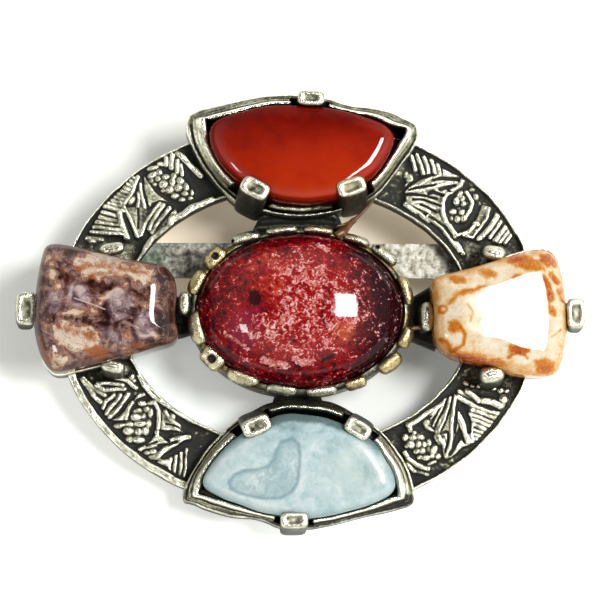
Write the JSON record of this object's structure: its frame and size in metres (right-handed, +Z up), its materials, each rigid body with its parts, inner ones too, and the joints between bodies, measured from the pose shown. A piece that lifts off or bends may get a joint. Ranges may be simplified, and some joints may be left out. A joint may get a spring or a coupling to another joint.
{
  "type": "gemstone brooch",
  "caption": "Openwork oval brooch: a cast relief ring with claw settings and a lobed oval bezel holding polished stones, and a pin back that fastens it to cloth.",
  "frame": {"origin": "centre of the whole brooch's box, on the surface that it lies on", "axes": "+X along the long axis to the wearer's left stone at the right of the face, +Y toward the top setting, +Z up and out of the face; the face leans toward -Y by 8.43 degrees because the brooch rests on its pin back"},
  "size_m": [0.055, 0.0426, 0.0123],
  "materials": {
    "cast_metal": "antiqued silver-coloured casting, bright on the raised edges and oxidised nearly black in the recesses",
    "pin_metal": "dull mottled plated strip with a little green tarnish",
    "centre_gem": "polished dome, crimson with pale pink speckles",
    "top_gem": "polished, translucent orange-red",
    "bottom_gem": "polished, pale blue-grey with a darker band",
    "left_gem": "polished, marbled brown, grey and cream",
    "right_gem": "polished, cream with orange-brown patches"
  },
  "bodies": {
    "root": {"cast_frame": "cast_metal", "centre_stone": "centre_gem", "top_stone": "top_gem", "bottom_stone": "bottom_gem", "left_stone": "left_gem", "right_stone": "right_gem", "pin_bar": "pin_metal", "pin_stem": "pin_metal"}
  },
  "joints": []
}
